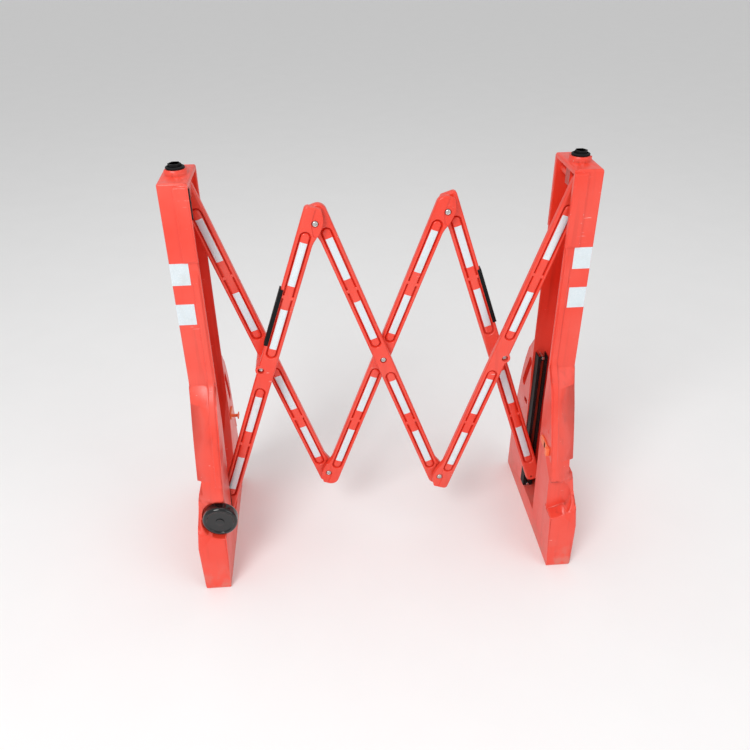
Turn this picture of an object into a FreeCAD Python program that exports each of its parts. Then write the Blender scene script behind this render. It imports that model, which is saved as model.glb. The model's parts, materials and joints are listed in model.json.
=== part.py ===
import FreeCAD
import Part
import os
import math

# Expanding lattice barricade: two hollow plastic end posts that stand on splayed feet, joined by
# a lattice of six plastic bars in four layers.  X runs along the barricade, -Y is its front and
# +Z is up.  The origin lies on the floor, under the middle of the barricade.  Millimetres, degrees.

Vec = FreeCAD.Vector
X_AXIS = Vec(1, 0, 0)
Y_AXIS = Vec(0, 1, 0)
Z_AXIS = Vec(0, 0, 1)

# ---------------------------------------------------------------- driving dimensions
# Lattice
INNER_ARM = 364.0        # hub pivot to the pivot it shares with the next pair of bars
OUTER_ARM = 420.0        # hub pivot of an end bar to its pivot in the post
OPEN_ANGLE = 67.7        # slope of the inner pivot lines as the barricade stands
FOLD_TRAVEL = 19.0       # how much steeper the bars stand when the posts are pushed together
SPREAD_TRAVEL = 40.0     # how much flatter they lie when the barricade is pulled out
BAR_WIDTH = 38.0
BAR_THICKNESS = 18.0
LAYER_GAP = 2.0          # between the bars of neighbouring layers
LATTICE_Y = -10.0        # middle plane of the four layers
END_SHIFT = 11.5         # end pivots lie this far off a bar's centre line
HUB_SHIFT = 12.0         # hub pivot of an end bar lies this far off its centre line
POST_SHIFT = 6.0         # post pivot of an end bar lies this far off its centre line
INNER_TIP = 32.0         # length of bar beyond an inner end pivot
OUTER_TIP = 13.0         # length of bar beyond a post pivot
EAR_RADIUS = 16.5        # ear beside an inner end pivot
EAR_RAMP = 46.0          # distance from that pivot to the start of its ear
BOSS_RADIUS = 12.5       # spacer boss about the hub of an end bar
HUB_EAR_RADIUS = 12.5    # ear of the bar about that hub
CORNER_RADIUS = 3.0

# Channels and reflective strips on the bars
POCKET_WIDTH = 24.0
POCKET_DEPTH = 4.0
ISLAND_WIDTH = 17.0
ISLAND_DROP = 1.0        # island surface below the bar's face
STRIP_WIDTH = 15.5
STRIP_LENGTH = 100.0
STRIP_THICKNESS = 0.5
INNER_STRIP_START = 61.0
INNER_STRIP_GAP = 57.5
OUTER_STRIP_START = 70.0
OUTER_STRIP_GAP = 79.0
BRIDGE_LENGTH = 22.0     # solid bridge between two pockets

# Fasteners
BOLT_RADIUS = 4.0
BOLT_FIT = 0.05          # running clearance, on the radius
HEAD_RADIUS = 6.5
HEAD_HEIGHT = 4.5
HEAD_SINK = 1.0          # bolt head and nut below the faces of the bars
HUB_SINK = 6.0           # the same at the hubs of the end bars
COUNTERBORE_FIT = 0.5
WASHER_RADIUS = 10.0
SLEEVE_RADIUS = 8.0
SIDE_PLAY = 0.5          # between a bar or nut and what it turns against
SCREW_RADIUS = 3.8
SCREW_HEIGHT = 1.8
SCREW_SHANK = 2.0
SCREW_INSET = 4.0        # screws from the ends of a rail

# End posts
HINGE_Z = 911.0          # height of the fixed pivots
POST_TOP = 942.0
POST_HALF_DEPTH = 65.0
WALL = 6.0
EDGE_REACH = 17.0        # inner edge of the post, inward of its pivots
WEB_REACH = 43.0         # outer face of the post, outward of its pivots
TOP_WALL = 10.0
SILL = 54.0              # height of the channel's floor
FOOT_HALF_DEPTH = 205.0
FOOT_HEIGHT = 158.0
FOOT_BATTER = 15.0       # the top of the foot's end lies further in than its bottom
FOOT_INSET = 9.0         # the foot's inner edge lies further out than the post's
INSET_TOP = 385.0
FOOT_BULGE = 14.0        # the foot's outer face beyond the post's
BULGE_Z = 115.0
FLARE_TOP = 490.0        # height where the legs start to flare
FLARE_POWER = 0.62
FLARE_STATIONS = 8
LEG_FACE = 18.0          # flat width of a leg's front before its outer corner is bevelled
LEG_BEVEL = 26.0
NOTCH_Z = 246.0          # notch in the outer face
NOTCH_HEIGHT = 34.0
NOTCH_DEPTH = 9.0
PANEL_STEP = 3.0         # raised panel at the top of each post
PANEL_WIDTH = 30.0
PANEL_BOTTOM = 780.0
PANEL_DROP = 6.0         # the panel ends this far below the post's top
NECK_RADIUS = 23.0
NECK_HEIGHT = 11.0
SOCKET_RADIUS = 16.0
SOCKET_DEPTH = 14.0
CAP_FIT = 0.3
CAP_PLUG = 12.0
CAP_RADIUS = 19.0
CAP_RIM = 4.0
CAP_HEX_RADIUS = 14.0
CAP_HEX = 6.0
HAND_SLOT_RADIUS = 11.0
HAND_SLOT_LENGTH = 92.0
HAND_SLOT_Y = 94.0
HAND_SLOT_Z = 381.0
HAND_SLOT_TILT = 26.0
TONGUE_WIDTH = 26.0
TONGUE_DROP = 36.0
BAND_HEIGHT = 48.0       # reflective bands on the posts
BAND_TOPS = (779.0, 688.0)
BAND_WIDTH = 38.0

# Hinge brackets and guide rails, black steel
SHEET = 1.6
PLATE_TOP = 930.0
PLATE_HEIGHT = 62.0
PLATE_WIDTH = 26.0
RAIL_WIDTH = 24.0
RAIL_GAP = 4.0           # between a bar and the rail beside it
RAIL_END = 15.0          # rail beyond the ends of its slot
SLOT_FIT = 0.3
BUTTON_RADIUS = 7.0      # head of a slide pin, behind the rail
BUTTON_HEIGHT = 2.4

# Wheel in the left post's front foot
WHEEL_RADIUS = 40.0
WHEEL_WIDTH = 28.0
WHEEL_Z = 190.0
WHEEL_FACE = 8.0         # closed front of the wheel before its blind bore
WHEEL_ROUND = 4.0
WHEEL_GAP = 2.0          # behind the wheel
WHEEL_SHIFT = 1.5        # wheel centre, inward of the post's pivots
RECESS_RADIUS = 46.0
RECESS_SHIFT = 4.5
RECESS_BACK = 156.0      # distance of the recess's back wall from the middle
AXLE_RADIUS = 5.0

# Orange latches on the fins
LATCH_Z = 300.0
LATCH_Y = 84.0
LATCH_REACH = 28.0       # tab beyond its pivot
LATCH_RADIUS = 10.0
LATCH_THICKNESS = 3.0
LATCH_GAP = 0.6          # between the tab and the sloping inner face of the leg
STUD_RADIUS = 4.0        # shaft of a latch through the leg's wall
COLLAR_RADIUS = 7.0
COLLAR_THICKNESS = 3.0
HOOK_REACH = 22.0        # from the leg's inner face to the tip of the left latch's hook
HOOK_LENGTH = 20.0
HOOK_THICKNESS = 3.0
WINDOW_FIT = 2.5

# Black edge strips on two bars
GRIP_START = 66.0
GRIP_LENGTH = 140.0
GRIP_LIP = 6.0
GRIP_BACK = 3.0
GRIP_SHEET = 1.0

# ---------------------------------------------------------------- derived places
LAYER_PITCH = BAR_THICKNESS + LAYER_GAP
END_LEAD = math.degrees(math.asin((END_SHIFT + HUB_SHIFT) / INNER_ARM))
MIDDLE_LEAD = math.degrees(math.asin(END_SHIFT / INNER_ARM))
POST_LEAD = END_LEAD + math.degrees(math.asin((HUB_SHIFT + POST_SHIFT) / OUTER_ARM))
HUB_PITCH = 2 * INNER_ARM * math.cos(math.radians(OPEN_ANGLE))
END_RISE = OUTER_ARM * math.sin(math.radians(OPEN_ANGLE + POST_LEAD))
HUB_Z = HINGE_Z - END_RISE
JOINT_RISE = INNER_ARM * math.sin(math.radians(OPEN_ANGLE))
PIVOT_X = HUB_PITCH + OUTER_ARM * math.cos(math.radians(OPEN_ANGLE + POST_LEAD))
EDGE_X = PIVOT_X - EDGE_REACH
WEB_X = PIVOT_X + WEB_REACH
CHANNEL_HALF = POST_HALF_DEPTH - WALL
NECK_X = (EDGE_X + WEB_X) / 2


def slide_height(angle):
    """Height of a sliding pivot when the inner pivot lines slope by this angle."""
    return HINGE_Z - 2 * OUTER_ARM * math.sin(math.radians(angle + POST_LEAD))


SLIDE_LOW = slide_height(OPEN_ANGLE + FOLD_TRAVEL)
SLIDE_HIGH = slide_height(OPEN_ANGLE - SPREAD_TRAVEL)


# ---------------------------------------------------------------- shape helpers
def box(x0, x1, y0, y1, z0, z1):
    """Box between two corners, given in any order."""
    low = Vec(min(x0, x1), min(y0, y1), min(z0, z1))
    return Part.makeBox(abs(x1 - x0), abs(y1 - y0), abs(z1 - z0), low)


def rod(x, z, y0, y1, radius):
    """Cylinder along Y."""
    return Part.makeCylinder(radius, abs(y1 - y0), Vec(x, min(y0, y1), z), Y_AXIS)


def tube(x, z, y0, y1, radius, bore):
    """Ring along Y."""
    return rod(x, z, y0, y1, radius).cut(rod(x, z, y0 - 1, y1 + 1, bore))


def stadium(x, z0, z1, y0, y1, radius):
    """Slot-shaped block along Y whose round ends are centred at z0 and z1."""
    middle = box(x - radius, x + radius, y0, y1, z0, z1)
    return middle.fuse([rod(x, z0, y0, y1, radius), rod(x, z1, y0, y1, radius)]).removeSplitter()


def side_wire(points, x):
    """Closed outline in the plane across the barricade at x."""
    corners = [Vec(x, y, z) for y, z in points]
    return Part.makePolygon(corners + corners[:1])


def front_prism(points, y0, y1):
    """Outline in the XZ plane, extruded from y0 to y1."""
    corners = [Vec(x, y0, z) for x, z in points]
    return Part.Face(Part.makePolygon(corners + corners[:1])).extrude(Vec(0, y1 - y0, 0))


def mirrored(shape, normal):
    """Mirror image in the plane through the origin."""
    return shape.mirror(Vec(0, 0, 0), normal)


def solids_of(shapes):
    """One compound of separate solids."""
    return Part.makeCompound([solid for shape in shapes for solid in shape.Solids])


def save(name, shape):
    """Write one sub-part."""
    shape.exportStep("parts/" + name + ".step")
    print(name, len(shape.Solids), round(shape.Volume / 1000.0, 1))


# ---------------------------------------------------------------- lattice layout
class Bar:
    """A lattice bar.  Its own frame has its hub at the origin, its body along Z and the middle of
    the barricade on the +X side.  An end bar's long outer arm points up in that frame."""

    def __init__(self, place, hub_x, layer, lead, flip_z, flip_x):
        self.place = place
        self.hub = Vec(hub_x, 0, HUB_Z)
        self.turn = OPEN_ANGLE + lead - 90
        self.flip_z = flip_z
        self.flip_x = flip_x
        self.front = layer_front(layer)
        self.back = self.front + BAR_THICKNESS

    def put(self, shape):
        """Carry a shape from the bar's own frame to its place in the lattice."""
        placed = shape.copy()
        placed.rotate(Vec(0, 0, 0), Y_AXIS, self.turn)
        if self.flip_z:
            placed = mirrored(placed, Z_AXIS)
        if self.flip_x:
            placed = mirrored(placed, X_AXIS)
        placed.translate(self.hub)
        return placed


def layer_front(layer):
    """Front face of a layer, 0 at the front to 3 at the back."""
    return LATTICE_Y + (layer - 2) * LAYER_PITCH + LAYER_GAP / 2


BACK_LEFT = Bar("back_left", -HUB_PITCH, 3, END_LEAD, False, False)
FRONT_LEFT = Bar("front_left", -HUB_PITCH, 0, END_LEAD, True, False)
FRONT_MIDDLE = Bar("front_middle", 0.0, 1, MIDDLE_LEAD, False, False)
BACK_MIDDLE = Bar("back_middle", 0.0, 2, MIDDLE_LEAD, False, True)
BACK_RIGHT = Bar("back_right", HUB_PITCH, 3, END_LEAD, True, True)
FRONT_RIGHT = Bar("front_right", HUB_PITCH, 0, END_LEAD, False, True)
END_BARS = (BACK_LEFT, FRONT_LEFT, BACK_RIGHT, FRONT_RIGHT)
MIDDLE_BARS = (FRONT_MIDDLE, BACK_MIDDLE)

INNER_X = HUB_SHIFT + END_SHIFT
INNER_Z = math.sqrt(INNER_ARM ** 2 - INNER_X ** 2)
OUTER_X = HUB_SHIFT + POST_SHIFT
OUTER_Z = math.sqrt(OUTER_ARM ** 2 - OUTER_X ** 2)
MIDDLE_Z = math.sqrt(INNER_ARM ** 2 - END_SHIFT ** 2)


# ---------------------------------------------------------------- bars
def pocket_spans(start, gap):
    """Start and end of the two reflective strips along one arm, with the margin of their pockets."""
    second = start + STRIP_LENGTH + gap
    spans = ((start, start + STRIP_LENGTH), (second, second + STRIP_LENGTH))
    return spans, (gap - BRIDGE_LENGTH) / 2


def arm_spans(end_bar):
    """(sign, low, high, margin) of each strip on both arms of a bar, sign -1 for the lower arm."""
    inner, inner_margin = pocket_spans(INNER_STRIP_START, INNER_STRIP_GAP)
    outer, outer_margin = pocket_spans(OUTER_STRIP_START, OUTER_STRIP_GAP)
    upper, upper_margin = (outer, outer_margin) if end_bar else (inner, inner_margin)
    lower = [(-1, low, high, inner_margin) for low, high in inner]
    return lower + [(1, low, high, upper_margin) for low, high in upper]


def inner_end(centre, side, length):
    """Outline of a bar's end about an inner pivot, from its plain side to its ear side."""
    half = BAR_WIDTH / 2
    ear = centre + side * (END_SHIFT + EAR_RADIUS)
    tip = length + INNER_TIP
    return [
        (centre - side * half, tip - 8),
        (centre - side * (half - 8), tip),
        (centre + side * (half - 6), tip),
        (ear, length + 12),
        (ear, length - 12),
        (centre + side * half, length - EAR_RAMP),
    ]


def bar_blank(outline, bar):
    """Plate of the bar's thickness with rounded corners."""
    plate = front_prism(outline, bar.front, bar.back)
    corners = [edge for edge in plate.Edges if abs(edge.tangentAt(edge.FirstParameter).y) > 0.99]
    return plate.makeFillet(CORNER_RADIUS, corners)


def with_pockets(plate, bar, centre, end_bar):
    """Cut the long round-ended pockets, each about a raised island."""
    for sign, low, high, margin in arm_spans(end_bar):
        reach = (sign * (low - margin + POCKET_WIDTH / 2), sign * (high + margin - POCKET_WIDTH / 2))
        ends = (min(reach), max(reach))
        floor = bar.front + POCKET_DEPTH
        pocket = stadium(centre, ends[0], ends[1], bar.front - 1, floor, POCKET_WIDTH / 2)
        island = stadium(centre, ends[0], ends[1], bar.front + ISLAND_DROP, floor, ISLAND_WIDTH / 2)
        plate = plate.cut(pocket.cut(island))
        skim = stadium(centre, ends[0], ends[1], bar.front - 1, bar.front + ISLAND_DROP, ISLAND_WIDTH / 2)
        plate = plate.cut(skim)
    return plate


def drilled(plate, bar, x, z, front_sink, back_sink):
    """Bore a pivot hole, with a counterbore on the faces where a sink is given."""
    plate = plate.cut(rod(x, z, bar.front - 60, bar.back + 60, BOLT_RADIUS + BOLT_FIT))
    seat = HEAD_RADIUS + COUNTERBORE_FIT
    if front_sink:
        plate = plate.cut(rod(x, z, bar.front - 1, bar.front + front_sink + HEAD_HEIGHT, seat))
    if back_sink:
        depth = back_sink + HEAD_HEIGHT + SIDE_PLAY
        plate = plate.cut(rod(x, z, bar.back + 1, bar.back - depth, seat))
    return plate


def hub_boss(bar):
    """Boss that fills half of the gap between the front and the back layer at an end hub."""
    if bar.front > LATTICE_Y:
        return rod(0, 0, bar.front - LAYER_PITCH, bar.front + 1, BOSS_RADIUS)
    return rod(0, 0, bar.back - 1, bar.back + LAYER_PITCH, BOSS_RADIUS)


def end_bar(bar):
    """Bar whose outer end is hinged or guided in a post."""
    half = BAR_WIDTH / 2
    top = OUTER_Z + OUTER_TIP
    low = [(x, -z) for x, z in inner_end(HUB_SHIFT, 1, INNER_Z)]
    outline = low + [(HUB_SHIFT + half, top), (HUB_SHIFT - half, top)]
    ear = rod(0, 0, bar.front, bar.back, HUB_EAR_RADIUS)
    plate = bar_blank(outline, bar).fuse([ear, hub_boss(bar)]).removeSplitter()
    plate = with_pockets(plate, bar, HUB_SHIFT, True)
    is_front = bar.front < LATTICE_Y
    plate = drilled(plate, bar, 0, 0, HUB_SINK * is_front, HUB_SINK * (not is_front))
    plate = drilled(plate, bar, INNER_X, -INNER_Z, HEAD_SINK * is_front, HEAD_SINK * (not is_front))
    return drilled(plate, bar, OUTER_X, OUTER_Z, 0, 0)


def middle_bar(bar):
    """Bar between the two inner pairs of pivots."""
    low = [(x, -z) for x, z in inner_end(0, 1, MIDDLE_Z)]
    high = [(-x, -z) for x, z in low]
    plate = bar_blank(low + high, bar)
    plate = with_pockets(plate, bar, 0, False)
    is_front = bar is FRONT_MIDDLE
    plate = drilled(plate, bar, 0, 0, HEAD_SINK * is_front, HEAD_SINK * (not is_front))
    # The front middle bar lies behind the end bar at both ends, the back one before it.
    plate = drilled(plate, bar, END_SHIFT, -MIDDLE_Z, HEAD_SINK * (not is_front), HEAD_SINK * is_front)
    return drilled(plate, bar, -END_SHIFT, MIDDLE_Z, HEAD_SINK * (not is_front), HEAD_SINK * is_front)


def bar_strips(bar, centre, is_end):
    """Reflective strips on the islands of one bar."""
    strips = []
    for sign, low, high, _ in arm_spans(is_end):
        y = bar.front + ISLAND_DROP
        half = STRIP_WIDTH / 2
        strips.append(box(centre - half, centre + half, y - STRIP_THICKNESS, y, sign * low, sign * high))
    return bar.put(Part.makeCompound(strips))


def edge_strip(bar):
    """Black strip clipped over the outer edge of an end bar's inner arm."""
    edge = HUB_SHIFT - BAR_WIDTH / 2
    low = -GRIP_START - GRIP_LENGTH
    back = box(edge - GRIP_BACK, edge, bar.front - GRIP_SHEET, bar.back, low, -GRIP_START)
    lip = box(edge - GRIP_BACK, edge + GRIP_LIP, bar.front - GRIP_SHEET, bar.front, low, -GRIP_START)
    return bar.put(back.fuse(lip).removeSplitter())


# ---------------------------------------------------------------- pivots of the lattice
def pivot_set(x, z, front, back, front_sink, back_sink, washers):
    """Bolt with a sunk head at the front bar and a nut in the back bar, and washers between them."""
    seat = front + front_sink
    stop = back - back_sink
    bolt = rod(x, z, seat + HEAD_HEIGHT, stop - 0.5, BOLT_RADIUS)
    head = rod(x, z, seat, seat + HEAD_HEIGHT, HEAD_RADIUS)
    nut = tube(x, z, stop - HEAD_HEIGHT, stop, HEAD_RADIUS, BOLT_RADIUS)
    rings = [tube(x, z, y0, y1, WASHER_RADIUS, BOLT_RADIUS + BOLT_FIT) for y0, y1 in washers]
    return [bolt.fuse(head).removeSplitter(), nut], rings


def lattice_joint(front_bar, x, z, sink):
    """Bolt, nut and washer where a bar crosses or meets the bar in the next layer behind it."""
    back = front_bar.back + LAYER_PITCH
    washers = [(front_bar.back, front_bar.back + LAYER_GAP)]
    return pivot_set(x, z, front_bar.front, back, sink, sink, washers)


def hub_joint(x):
    """Bolt through both bosses of an end hub."""
    front, back = layer_front(0), layer_front(3) + BAR_THICKNESS
    middle = LATTICE_Y
    washers = [(middle - LAYER_GAP / 2, middle + LAYER_GAP / 2)]
    return pivot_set(x, HUB_Z, front, back, HUB_SINK, HUB_SINK, washers)


def slide_pin(bar, x, z, toward):
    """Pin in the free end of an end bar; its button runs behind the slot of the rail."""
    outer = bar.front if toward < 0 else bar.back
    inner = bar.back if toward < 0 else bar.front
    plate = outer + toward * RAIL_GAP
    behind = plate + toward * (SHEET + SIDE_PLAY)
    shank = rod(x, z, inner, behind, BOLT_RADIUS)
    return shank.fuse(rod(x, z, behind, behind + toward * BUTTON_HEIGHT, BUTTON_RADIUS)).removeSplitter()


# ---------------------------------------------------------------- end posts
# Both posts are drawn at +X; the left one is the mirror image in the middle plane.
def half_outline(inset, bevel):
    """Half of a post's side outline, bottom to top, as (reach from the middle, height)."""
    foot_top = FOOT_HALF_DEPTH - FOOT_BATTER
    points = [(FOOT_HALF_DEPTH - inset, 0), (FOOT_HALF_DEPTH - inset, 12)]
    for i in range(FLARE_STATIONS + 1):
        share = i / FLARE_STATIONS
        reach = POST_HALF_DEPTH + (foot_top - POST_HALF_DEPTH) * (1 - share) ** FLARE_POWER
        cut_back = bevel if 0 < i < FLARE_STATIONS else 0
        points.append((reach - inset - cut_back, FOOT_HEIGHT + share * (FLARE_TOP - FOOT_HEIGHT)))
    return points + [(POST_HALF_DEPTH - inset, POST_TOP)]


def outline_wire(x, inset, bevel):
    """Whole side outline of a post at one x."""
    half = half_outline(inset, bevel)
    return side_wire(half + [(-y, z) for y, z in reversed(half)], x)


def front_limits(inset):
    """Front outline of a post: straight inner edge, bulged foot outside."""
    return [
        (EDGE_X + FOOT_INSET + inset, 0),
        (WEB_X + FOOT_BULGE - 5 - inset, 0),
        (WEB_X + FOOT_BULGE - inset, BULGE_Z),
        (WEB_X + 3 - inset, NOTCH_Z - 16),
        (WEB_X - inset, NOTCH_Z),
        (WEB_X - inset, POST_TOP),
        (EDGE_X + inset, POST_TOP),
        (EDGE_X + inset, INSET_TOP),
    ]


def post_blank(inset):
    """Closed outer form of a post, moved inward by the inset."""
    shoulder = EDGE_X + LEG_FACE
    outside = WEB_X + FOOT_BULGE
    inner = Part.Face(outline_wire(EDGE_X, inset, 0)).extrude(Vec(shoulder - EDGE_X, 0, 0))
    wires = [outline_wire(shoulder, inset, 0), outline_wire(outside, inset, LEG_BEVEL)]
    outer = Part.makeLoft(wires, True, True)
    limits = front_prism(front_limits(inset), -FOOT_HALF_DEPTH - 1, FOOT_HALF_DEPTH + 1)
    return inner.fuse(outer).common(limits)


def wheel_recess(radius, back):
    """Round recess in the front leg, open to the front."""
    return rod(PIVOT_X - RECESS_SHIFT, WHEEL_Z, -FOOT_HALF_DEPTH - 1, -back, radius)


def notches(extra):
    """Blocks that cut the notch in the outer face of both legs."""
    low, high = NOTCH_Z - extra, NOTCH_Z + NOTCH_HEIGHT + extra
    depth = NOTCH_DEPTH + extra
    near = POST_HALF_DEPTH + WALL
    blocks = [box(WEB_X - depth, WEB_X + 20, s * near, s * 250, low, high) for s in (-1, 1)]
    return blocks[0].fuse(blocks[1])


def hand_slot(radius):
    """Slanted slot through the back leg."""
    half = HAND_SLOT_LENGTH / 2
    shape = box(EDGE_X - 5, WEB_X + 5, -radius, radius, -half, half)
    for end in (-half, half):
        shape = shape.fuse(Part.makeCylinder(radius, WEB_X - EDGE_X + 10, Vec(EDGE_X - 5, 0, end), X_AXIS))
    shape.rotate(Vec(0, 0, 0), X_AXIS, HAND_SLOT_TILT)
    shape.translate(Vec(0, HAND_SLOT_Y, HAND_SLOT_Z))
    return shape


def leg_hollow():
    """Space inside both legs and under the channel's floor, open to the floor below."""
    core = post_blank(WALL)
    lower = core.common(box(0, 999, -300, 300, -1, FLARE_TOP - WALL))
    side = CHANNEL_HALF + WALL
    spine = box(0, 999, -side, side, SILL - WALL, POST_TOP)
    lower = lower.cut(spine)
    lower = lower.cut(wheel_recess(RECESS_RADIUS + WALL, RECESS_BACK - WALL))
    lower = lower.cut(notches(WALL))
    return lower.cut(hand_slot(HAND_SLOT_RADIUS + WALL))


def latch_face():
    """Inner face of a leg at the height of the latches."""
    return EDGE_X + FOOT_INSET * (INSET_TOP - LATCH_Z) / INSET_TOP


def latch_window():
    """Window in the inner wall of the right post's back leg for the left latch's hook."""
    half = HOOK_LENGTH / 2 + WINDOW_FIT
    rise = STUD_RADIUS + WINDOW_FIT
    face = latch_face()
    return box(face - 5, face + WALL + 5, LATCH_Y - half, LATCH_Y + half, LATCH_Z - rise, LATCH_Z + rise)


def stud_hole(y):
    """Hole of a latch's shaft through the inner wall of a leg."""
    face = latch_face()
    return Part.makeCylinder(STUD_RADIUS + BOLT_FIT, WALL + 10, Vec(face - 5, y, LATCH_Z), X_AXIS)


def neck():
    """Round neck with the socket of a warning lamp."""
    base = Part.makeCylinder(NECK_RADIUS, NECK_HEIGHT + 1, Vec(NECK_X, 0, POST_TOP - 1))
    return base


def lamp_socket(extra):
    """Bore of the neck."""
    top = POST_TOP + NECK_HEIGHT
    return Part.makeCylinder(SOCKET_RADIUS, SOCKET_DEPTH + extra, Vec(NECK_X, 0, top - SOCKET_DEPTH))


def tongue():
    """Block under the top wall that carries the middle of the hinge bolt."""
    top = POST_TOP - TOP_WALL
    low = top - TONGUE_DROP
    y0, y1 = LATTICE_Y - TONGUE_WIDTH / 2, LATTICE_Y + TONGUE_WIDTH / 2
    return box(PIVOT_X - SLEEVE_RADIUS - 4, WEB_X - WALL + 1, y0, y1, low, top + 1)


def post(side):
    """Hollow post with an open channel toward the middle of the barricade."""
    top = POST_TOP - TOP_WALL
    body = post_blank(0).cut(leg_hollow())
    body = body.cut(box(EDGE_X - 20, WEB_X - WALL, -CHANNEL_HALF, CHANNEL_HALF, SILL, top))
    body = body.cut(notches(0)).cut(wheel_recess(RECESS_RADIUS, RECESS_BACK))
    body = body.cut(hand_slot(HAND_SLOT_RADIUS))
    panels = []
    for s in (-1, 1):
        face = s * POST_HALF_DEPTH
        out = face + s * PANEL_STEP
        panels.append(box(EDGE_X, EDGE_X + PANEL_WIDTH, face - s, out, PANEL_BOTTOM, POST_TOP - PANEL_DROP))
    body = body.fuse(panels + [neck(), tongue()]).removeSplitter().cut(lamp_socket(1))
    body = body.cut(rod(PIVOT_X, HINGE_Z, -CHANNEL_HALF, CHANNEL_HALF, BOLT_RADIUS + BOLT_FIT))
    if side == "right":
        return body.cut(latch_window()).cut(stud_hole(-LATCH_Y))
    return body.cut(stud_hole(LATCH_Y)).cut(axle_hole())


def on_side(shape, side):
    """Keep a shape drawn at +X, or mirror it for the left post."""
    return mirrored(shape, X_AXIS) if side == "left" else shape


def bands():
    """Reflective bands on a post's front."""
    y = -POST_HALF_DEPTH
    outer = WEB_X - 1
    inner = outer - BAND_WIDTH
    return [box(inner, outer, y - STRIP_THICKNESS, y, top - BAND_HEIGHT, top) for top in BAND_TOPS]


def hinge_plate():
    """Black plate on the inner face of the front flange, about the hinge bolt."""
    x0 = EDGE_X + 2
    y = -CHANNEL_HALF
    plate = box(x0, x0 + PLATE_WIDTH, y, y + SHEET, PLATE_TOP - PLATE_HEIGHT, PLATE_TOP)
    return plate.cut(rod(PIVOT_X, HINGE_Z, y - 1, y + SHEET + 1, BOLT_RADIUS + BOLT_FIT))


def hinge_bolt():
    """Long bolt across the channel, with its head against the plate."""
    seat = -CHANNEL_HALF + SHEET
    shank = rod(PIVOT_X, HINGE_Z, -CHANNEL_HALF, CHANNEL_HALF, BOLT_RADIUS)
    head = rod(PIVOT_X, HINGE_Z, seat, seat + HEAD_HEIGHT, HEAD_RADIUS)
    return shank.fuse(head).removeSplitter()


def hinge_sleeves(bar):
    """Spacer sleeves that hold the bar in its layer on the hinge bolt."""
    tongue_front, tongue_back = LATTICE_Y - TONGUE_WIDTH / 2, LATTICE_Y + TONGUE_WIDTH / 2
    bar_front, bar_back = bar.front - SIDE_PLAY, bar.back + SIDE_PLAY
    head = -CHANNEL_HALF + SHEET + HEAD_HEIGHT
    if bar.front > tongue_back:
        spans = [(head, tongue_front), (tongue_back, bar_front), (bar_back, CHANNEL_HALF)]
    else:
        spans = [(head, bar_front), (bar_back, tongue_front), (tongue_back, CHANNEL_HALF)]
    return [tube(PIVOT_X, HINGE_Z, y0, y1, SLEEVE_RADIUS, BOLT_RADIUS + BOLT_FIT) for y0, y1 in spans]


def screw_heights():
    """Heights of the two screws of a rail."""
    return SLIDE_LOW - RAIL_END + SCREW_INSET, SLIDE_HIGH + RAIL_END - SCREW_INSET


def guide_rail(face, flange):
    """Black channel rail with a slot; its web stands RAIL_GAP off the bar's face."""
    s = 1 if flange > face else -1
    web = face + s * RAIL_GAP
    low, high = SLIDE_LOW - RAIL_END, SLIDE_HIGH + RAIL_END
    half = RAIL_WIDTH / 2
    outer = box(PIVOT_X - half, PIVOT_X + half, web, flange, low, high)
    clear = half - SHEET
    inner = box(PIVOT_X - clear, PIVOT_X + clear, web + s * SHEET, flange + s, low - 1, high + 1)
    slot = stadium(PIVOT_X, SLIDE_LOW, SLIDE_HIGH, web - s, web + s * 4, BOLT_RADIUS + SLOT_FIT)
    rail = outer.cut(inner).cut(slot)
    for z in screw_heights():
        rail = rail.cut(rod(PIVOT_X, z, web - s, web + s * 4, SCREW_SHANK))
    return rail


def rail_screws(face, flange):
    """Two pan screws on flaps of the rail near each end."""
    s = 1 if flange > face else -1
    web = face + s * RAIL_GAP
    heads = [rod(PIVOT_X, z, web - s * SCREW_HEIGHT, web, SCREW_RADIUS) for z in screw_heights()]
    shanks = [rod(PIVOT_X, z, web, flange, SCREW_SHANK) for z in screw_heights()]
    return [head.fuse(shank).removeSplitter() for head, shank in zip(heads, shanks)]


def cap():
    """Black plug of the lamp socket with a hexagonal grip."""
    rim_z = POST_TOP + NECK_HEIGHT
    plug = Part.makeCylinder(SOCKET_RADIUS - CAP_FIT, CAP_PLUG, Vec(NECK_X, 0, rim_z - CAP_PLUG))
    rim = Part.makeCylinder(CAP_RADIUS, CAP_RIM, Vec(NECK_X, 0, rim_z))
    hexagon = Part.makePolygon([
        Vec(NECK_X + CAP_HEX_RADIUS * math.cos(math.radians(60 * i)),
            CAP_HEX_RADIUS * math.sin(math.radians(60 * i)), rim_z + CAP_RIM)
        for i in range(7)
    ])
    return plug.fuse([rim, Part.Face(hexagon).extrude(Vec(0, 0, CAP_HEX))]).removeSplitter()


# ---------------------------------------------------------------- wheel and latches
def wheel_x():
    """The wheel's axis, drawn at +X."""
    return PIVOT_X - WHEEL_SHIFT


def wheel_back():
    """Back face of the wheel."""
    return -RECESS_BACK - WHEEL_GAP


def wheel():
    """Solid wheel on a blind bore, open at the back."""
    back = wheel_back()
    disc = rod(wheel_x(), WHEEL_Z, back - WHEEL_WIDTH, back, WHEEL_RADIUS)
    rims = [edge for edge in disc.Edges if edge.Curve.TypeId == "Part::GeomCircle"]
    disc = disc.makeFillet(WHEEL_ROUND, rims)
    bore = rod(wheel_x(), WHEEL_Z, back - WHEEL_WIDTH + WHEEL_FACE, back + 1, AXLE_RADIUS + BOLT_FIT)
    return disc.cut(bore)


def axle():
    """Axle pressed into the back wall of the recess."""
    tip = wheel_back() - WHEEL_WIDTH + WHEEL_FACE + SIDE_PLAY
    return rod(wheel_x(), WHEEL_Z, tip, -RECESS_BACK + WALL, AXLE_RADIUS)


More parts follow.
